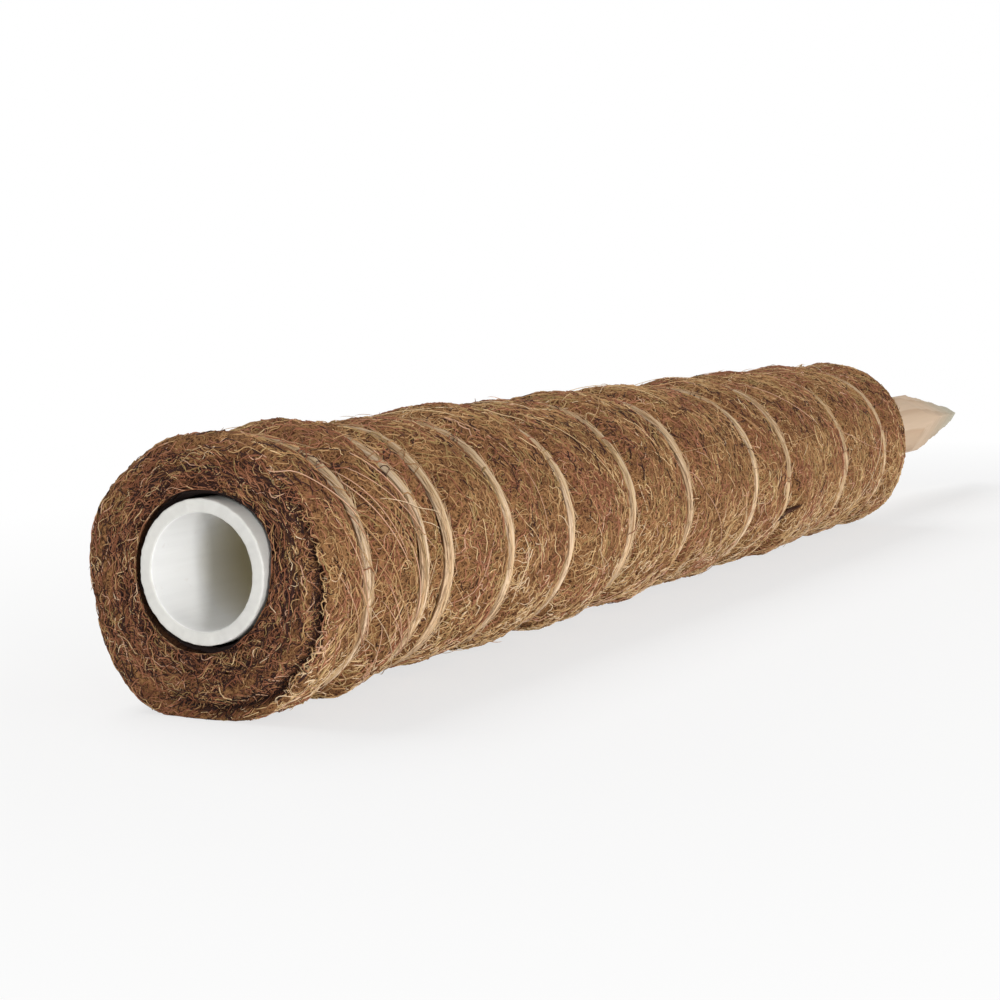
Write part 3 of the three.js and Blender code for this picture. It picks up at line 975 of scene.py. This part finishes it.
def twine_strands(look):
    rng = np.random.default_rng(41)
    strands, steps_per_turn = 17, 64
    turns = np.linspace(TIE_TURN - 0.016, TURN_COUNT + TIE_TURN + 0.016, TURN_COUNT * steps_per_turn)
    middle = polar(twine_place(turns), TWINE_RADIUS, turns * TURN)
    along = unit(np.gradient(middle, axis=0))
    outward = polar(0.0, 1.0, turns * TURN)
    outward = unit(outward - along * np.sum(along * outward, axis=1, keepdims=True))
    across = np.cross(along, outward)
    twist = 5.2 * turns + 0.5 * np.sin(TURN * turns * 0.61)
    breadth = 0.96 + ripple(TURN * turns, (0.16, 1.93, 1.0), (0.12, 4.7, 0.0))
    half_width = TWINE_HALF_WIDTH * 0.86 * breadth
    half_height = TWINE_HALF_HEIGHT * 0.82 / breadth
    paths = []
    for strand in range(strands):
        share = math.sqrt((strand + 0.5) / strands)
        stray = 0.10 * np.sin(TURN * turns * rng.uniform(2, 6) + rng.uniform(0, TURN))
        stray += 0.06 * np.sin(TURN * turns * rng.uniform(6, 11) + rng.uniform(0, TURN))
        around = strand * GOLDEN_ANGLE + TURN * twist / 4 + stray
        reach = np.clip(share + stray * 0.8, 0, 1.12)
        paths.append(beside(middle, across, half_width * reach * np.cos(around),
                            outward, half_height * reach * np.sin(around)))
    columns = rng.integers(0, len(TWINE_COLOURS), strands)
    radii = rng.uniform(0.2, 0.29, (strands, 1))
    dress = ("twine", "pole", "binding_twine")
    strand_piece("twine_strands", np.array(paths), radii, columns, look, dress, sides=5)


def twine_fuzz(look):
    """Fine ends that stand off the twine, paler below and darker on top as painted light and shade."""
    draws = Draws(seed=42, count=4200)
    start = draws.uniform(TIE_TURN, TURN_COUNT + TIE_TURN - 0.05)
    length = draws.uniform(2.5, 8.0) * draws.choice([-1, 1])
    way = np.linspace(0, 1, 7)
    turns = np.clip(start + way * (length / (TURN * TWINE_RADIUS)), TIE_TURN, TURN_COUNT + TIE_TURN)
    angle = turns * TURN
    side = draws.normal(0, 0.6) + draws.normal(0, 1.1) * way ** 1.5
    rise = draws.uniform(0.1, 0.65) + draws.uniform(-0.25, 0.75) * way ** 1.4
    x = twine_place(turns) + side
    radius = np.maximum(TWINE_RADIUS + rise, coir_surface(x, angle)[0] + 0.1)
    radii = draws.uniform(0.045, 0.08)
    # Painted light and shade: darker columns on top, paler ones below
    level = np.round(3.2 - 3.6 * np.sin(angle[:, :1]) + draws.normal(0, 1.0))
    columns = TWINE_FROM_DARK[np.clip(level, 0, len(TWINE_FROM_DARK) - 1).astype(int)]
    strand_piece("twine_fuzz", polar(x, radius, angle), radii, columns, look, ("twine", "pole"))


def yarn(path, strands, yarn_radius, twist, rng, fray=0.0):
    """Strands twisted round a path of points; fray spreads them over its last quarter."""
    along = unit(np.gradient(path, axis=0))
    side = unit(np.cross(along, (0.42, 0.55, 0.72)))
    other = np.cross(along, side)
    way = np.linspace(0, 1, len(path))
    spread = 1 + fray * np.clip((way - 0.72) / 0.28, 0, 1) ** 1.5
    bundle = []
    for strand in range(strands):
        reach = (yarn_radius if strand else 0.0) * spread * rng.uniform(0.88, 1.08)
        turned = strand / (strands - 1) * TURN + twist * way * TURN + rng.normal(0, 0.12)
        bundle.append(beside(path, side, reach * np.cos(turned), other, reach * np.sin(turned)))
    return bundle


def twine_knot(look, name, node, seed, turn_end, outward):
    """A barrel knot: the twine's end wound three times round itself, with a frayed tail laid on the coir."""
    rng = np.random.default_rng(seed)
    turns = np.array([turn_end - 0.002, turn_end + 0.002])
    places = twine_place(turns)
    step = np.array([places[1] - places[0], (turns[1] - turns[0]) * TURN * TWINE_RADIUS])
    ahead = unit(step * outward)

    def at(forward, sideways, upward):
        forward = forward + 2.0
        x = places.mean() + forward * ahead[0] - sideways * ahead[1]
        angle = turn_end * TURN + (forward * ahead[1] + sideways * ahead[0]) / TWINE_RADIUS
        return polar(x, TWINE_RADIUS + upward, angle)

    lift = 0.7
    way = np.linspace(0, 1, 70)
    spin = way * 3.1 * TURN
    reach = 1.15 + 0.10 * np.sin(way * 9)
    wrap = at(0.9 + way * 3.9, reach * np.cos(spin), lift + reach * np.sin(spin))
    rise = lift * np.clip(way / 0.2, 0, 1) - (lift + 0.5) * np.clip((way - 0.6) / 0.4, 0, 1) ** 1.3
    core = at(-0.8 + way * 13.0, 0.5 * np.sin(way * 5.0) * way, rise)
    ground = coir_surface(core[:, 0], angle_of(core))[0] + 0.45
    height = from_axis(core)
    tail = np.clip((way - 0.45) / 0.15, 0, 1)
    laid = np.maximum(height, ground) * (1 - tail) + ground * tail
    core[:, 1:] *= (laid / height)[:, None]
    wraps = yarn(wrap, strands=8, yarn_radius=0.5, twist=5.0, rng=rng)
    cores = yarn(core, strands=9, yarn_radius=0.42, twist=2.2, rng=rng, fray=1.6)
    radii = np.array([0.27] * len(wraps) + [0.2] * len(cores))[:, None]
    columns = rng.integers(0, len(TWINE_COLOURS), len(radii))
    strand_piece(name, np.array(wraps + cores), radii, columns, look, ("twine", "pole", node), sides=5)


# Tube and stake

def core_tube(material):
    """Open tube. Its ends are sawn a little rough, by an amount that goes with each ring of the profile."""
    angle = ring_angles(128)
    saw = ripple(angle, (0.05, 17, 1.0), (0.04, 41, 0.0), (0.03, 63, 2.0))
    bends = np.linspace(0, TURN / 4, 5)
    bevel = RIM_BEVEL * (1 - np.stack([np.sin(bends), np.cos(bends)], axis=1))
    flat = np.linspace(TUBE_BORE + RIM_BEVEL, TUBE_RADIUS - RIM_BEVEL, 5)[1:-1]
    near = [(back, TUBE_BORE + out, 0.6) for back, out in bevel]
    near += [(0.0, radius, 1.0) for radius in flat]
    near += [(out, TUBE_RADIUS - back, 1.2) for back, out in bevel]
    outside = [(x, TUBE_RADIUS, 0.0) for x in np.linspace(RIM_REACH, TUBE_LENGTH - RIM_REACH, 40)]
    far = [(TUBE_LENGTH - x, radius, -roughness) for x, radius, roughness in reversed(near)]
    inside = [(x, TUBE_BORE, 0.0) for x in np.linspace(TUBE_LENGTH - RIM_REACH, RIM_REACH, 60)]
    rings = []
    for x, radius, roughness in near + outside + far + inside:
        rings.append(polar(x + roughness * saw, radius + 0.02 * abs(roughness) * np.sin(29 * angle), angle))
    ring_piece("tube_shell", raised(rings), material, ("white_plastic", "pole", "core_tube"))


def ground_stake(material):
    """Round stake with a chamfered top end, and a point of flat facets with knife marks and a rounded tip."""
    angle = ring_angles(144)
    phases = np.random.default_rng(61).uniform(0, TURN, (POINT_FACETS, 3))
    point_start = STAKE_END - POINT_LENGTH
    tip_start = STAKE_END - TIP_ROUND
    rings = []
    for bend in np.linspace(0, TURN / 4, 5):
        radius = STAKE_RADIUS - STAKE_CHAMFER * (1 - math.sin(bend))
        rings.append(polar(STAKE_START + STAKE_CHAMFER * (1 - math.cos(bend)), radius, angle))
    body = np.linspace(STAKE_START + 2, point_start - 3, 56)
    point = np.linspace(point_start - 1.5, tip_start, 60)
    tip = tip_start + TIP_ROUND * np.sin(np.linspace(0.15, TURN / 4, 8))
    for x in np.concatenate([body, point, tip]):
        radius = STAKE_RADIUS + 0.035 * np.sin(9 * angle + 0.02 * x) + 0.03 * np.sin(23 * angle + 0.011 * x)
        width = POINT_HALF_BLUNT + (STAKE_END - x) * (STAKE_RADIUS - POINT_HALF_BLUNT) / POINT_LENGTH
        fade = min(1.0, (STAKE_END - x) / 12)
        for facet, (coarse, middling, fine) in enumerate(phases):
            cosine = np.cos(angle - facet / POINT_FACETS * TURN - POINT_TWIST)
            knife = (0.14 * math.sin(x * 0.42 + coarse) + 0.07 * math.sin(x * 1.3 + middling)
                     + 0.05 * np.sin(angle * 9 + x * 0.2 + fine))
            cut = np.where(cosine > 0.2, (width + knife * fade) / np.maximum(cosine, 0.2), FAR_OFF)
            blend = np.clip(0.5 + 0.5 * (cut - radius) / FACET_SOFTNESS, 0, 1)
            radius = cut * (1 - blend) + radius * blend - FACET_SOFTNESS * blend * (1 - blend) * 0.5
        rounded = math.sqrt(1 - (0.95 * max(0.0, (x - tip_start) / TIP_ROUND)) ** 2)
        rings.append(polar(x, np.maximum(radius * rounded, 0.4), angle))
    dress = ("pale_wood", "stake", "ground_stake")
    ring_piece("stake_shaft", raised(rings), material, dress, closed_profile=False)


# Camera and stage

def add_aimed(name, data, place, direction):
    """An object at a place, looking along a direction."""
    item = new_object(name, data)
    item.location = place
    item.rotation_euler = Vector(direction).to_track_quat("-Z", "Y").to_euler()
    return item


def camera():
    data = bpy.data.cameras.new("view")
    data.lens = CAMERA_LENS
    data.sensor_width = 36.0
    data.clip_start = 0.01
    data.clip_end = 100.0
    bpy.context.scene.camera = add_aimed("view", data, CAMERA_PLACE, CAMERA_AIM)


def lamp(name, place, target, width, height, watts):
    data = bpy.data.lights.new(name, "AREA")
    data.shape = "RECTANGLE"
    data.size = width
    data.size_y = height
    data.energy = watts
    add_aimed(name, data, place, Vector(target) - Vector(place))


def seen_directly(nodes):
    """1 for the camera, and for mirrors and glass that look at the background."""
    path = nodes.add("ShaderNodeLightPath").outputs
    mirrored = nodes.number_math("MAXIMUM", path["Is Camera Ray"], path["Is Glossy Ray"])
    return nodes.number_math("MAXIMUM", mirrored, path["Is Transmission Ray"])


def floor():
    """Pale floor that keeps the pole's shadow, and turns white away from it where it is seen directly."""
    nodes = material_nodes("pale_floor")
    nodes.shade((0.93, 0.93, 0.93, 1.0), 0.9, 0.1)
    glow = nodes.add("ShaderNodeEmission", {"Color": (1.0, 1.0, 1.0, 1.0)})
    size = nodes.vector_math("ABSOLUTE", nodes.object_coordinates())
    beyond = nodes.vector_math("SUBTRACT", size, (0.2, 0.0, 0.0))
    outside = nodes.vector_math("MAXIMUM", beyond, (0.0, 0.0, 0.0))
    distance = nodes.vector_math("LENGTH", outside, output="Value")
    whiteness = nodes.map_range(distance, 0.02, 0.22, 0.7, 1.0)
    share = nodes.number_math("MULTIPLY", whiteness, seen_directly(nodes))
    nodes.blend_out("Material Output", share, nodes.shader().outputs["BSDF"], glow.outputs["Emission"])
    mesh = bpy.data.meshes.new("floor")
    corners = [(FLOOR_HALF * x, FLOOR_HALF * y, 0) for x, y in ((-1, -1), (1, -1), (1, 1), (-1, 1))]
    mesh.from_pydata(corners, [], [(0, 1, 2, 3)])
    mesh.materials.append(nodes.owner)
    new_object("floor", mesh)


def studio():
    """Soft light from all round, and a white background where it is seen directly."""
    bpy.context.scene.world = bpy.data.worlds.new("studio")
    nodes = Nodes(bpy.context.scene.world)
    soft = nodes.tree.nodes["Background"]
    nodes.feed(soft, {"Color": (1.0, 0.985, 0.965, 1.0), "Strength": WORLD_STRENGTH})
    white = nodes.add("ShaderNodeBackground", {"Color": (1.0, 1.0, 1.0, 1.0), "Strength": 1.0})
    shaders = [node.outputs["Background"] for node in (soft, white)]
    nodes.blend_out("World Output", seen_directly(nodes), *shaders)


camera()
floor()
studio()
for settings in LAMPS:
    lamp(*settings)
bpy.context.scene.view_settings.view_transform = "Standard"

coir_look = strand_look("coir_strands", COIR_COLOURS, 0.7, 0.8)
twine_look = strand_look("twine_strands", TWINE_COLOURS, 0.9, 0.85)
wound_look = strand_look("wound_twine", TWINE_COLOURS, 0.9, 0.85, TWINE_PAINTED_LIGHT)

outer_layer(felt_material("coir_felt", (45, 27, 17), (97, 64, 40), (166, 122, 80), (105, 63, 43)))
inner_roll(felt_material("coir_roll", (33, 19, 11), (70, 43, 28), (109, 73, 46), (78, 42, 30)))
felt_strands(coir_look)
loose_rng = np.random.default_rng(31)
stray_strands(coir_look, loose_rng)
fuzz_strands(coir_look, loose_rng)
face_strands(coir_look, "coir_strands_open_end", seed=71, outward=-1)
face_strands(coir_look, "coir_strands_stake_end", seed=72, outward=1)
crease_strands(coir_look)
slit_strands(coir_look)
twine_strands(wound_look)
twine_fuzz(twine_look)
twine_knot(twine_look, "twine_tie_start", "twine_knot_start", 51, TIE_TURN, outward=-1)
twine_knot(twine_look, "twine_tie_end", "twine_knot_end", 52, TURN_COUNT + TIE_TURN, outward=1)
core_tube(plastic_material())
ground_stake(wood_material())
